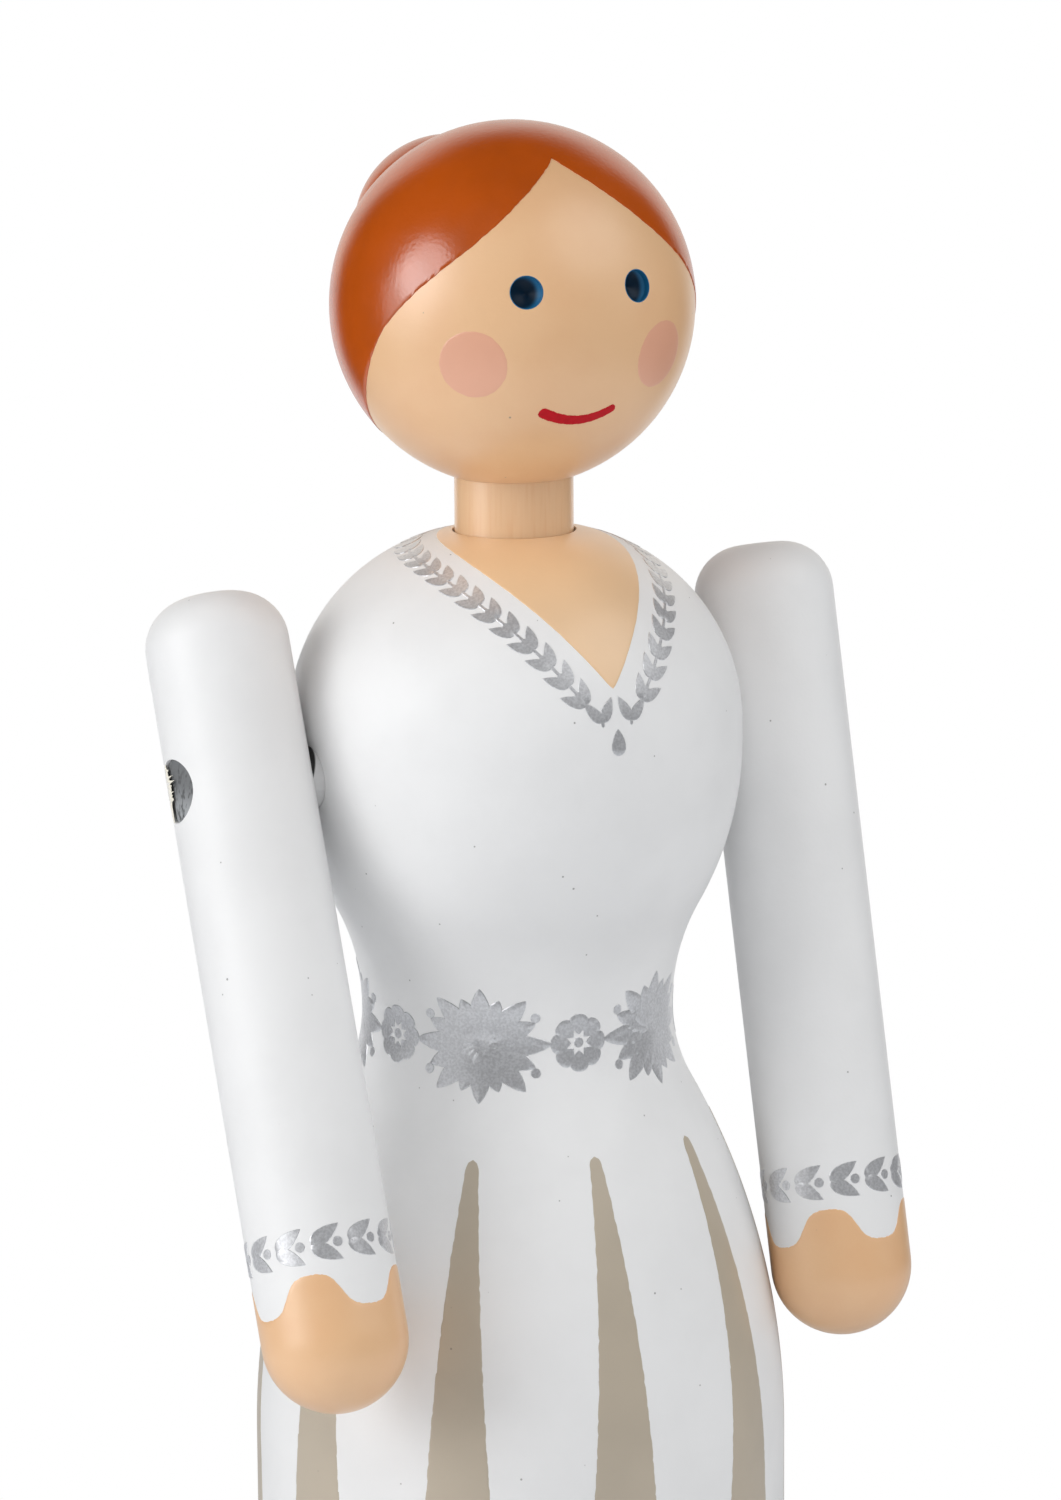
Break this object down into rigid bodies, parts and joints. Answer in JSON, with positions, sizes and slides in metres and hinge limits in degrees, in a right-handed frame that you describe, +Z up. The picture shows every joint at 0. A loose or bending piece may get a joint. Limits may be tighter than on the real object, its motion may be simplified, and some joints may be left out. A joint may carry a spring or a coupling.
{
  "type": "wooden bride figure",
  "caption": "Turned wooden doll with a bell skirt, narrow waist, turning ball head on a dowel neck, hair bun, and dowel arms that swing on an axle through the chest; stands on a flat base.",
  "frame": {"origin": "middle of the flat base that the figure stands on", "axes": "+Z up along the turned body, the figure faces -Y, its own left side is +X"},
  "size_m": [0.072, 0.0529, 0.1651],
  "materials": {
    "white_lacquer": "satin white lacquer over turned wood",
    "skin_lacquer": "satin skin-coloured lacquer over turned wood",
    "hair_lacquer": "glossy orange-brown lacquer over turned wood",
    "taupe_lacquer": "satin grey-beige lacquer stripes",
    "silver_paint": "grainy silver paint",
    "eye_blue": "glossy dark blue paint in drilled eyes",
    "lip_red": "satin red paint",
    "cheek_pink": "satin pink paint",
    "bare_wood": "bare beech dowel"
  },
  "bodies": {
    "torso": {"body": "white_lacquer", "shoulder_axle": "silver_paint"},
    "right_arm": {"right_arm": "white_lacquer"},
    "left_arm": {"left_arm": "white_lacquer"},
    "head": {"neck": "skin_lacquer", "head": "skin_lacquer", "hair_bun": "hair_lacquer", "bun_peg": "bare_wood"}
  },
  "joints": [
    {"name": "right_arm_swing", "type": "hinge", "parent": "torso", "child": "right_arm", "pos_m": [-0.02915, 0, 0.1035], "axis": [-1, 0, 0], "range_deg": [-8, 323]},
    {"name": "left_arm_swing", "type": "hinge", "parent": "torso", "child": "left_arm", "pos_m": [0.02915, 0, 0.1035], "axis": [-1, 0, 0], "range_deg": [0, 331]},
    {"name": "head_turn", "type": "hinge", "parent": "torso", "child": "head", "pos_m": [0, 0, 0.14763], "axis": [0, 0, 1], "continuous": true}
  ]
}
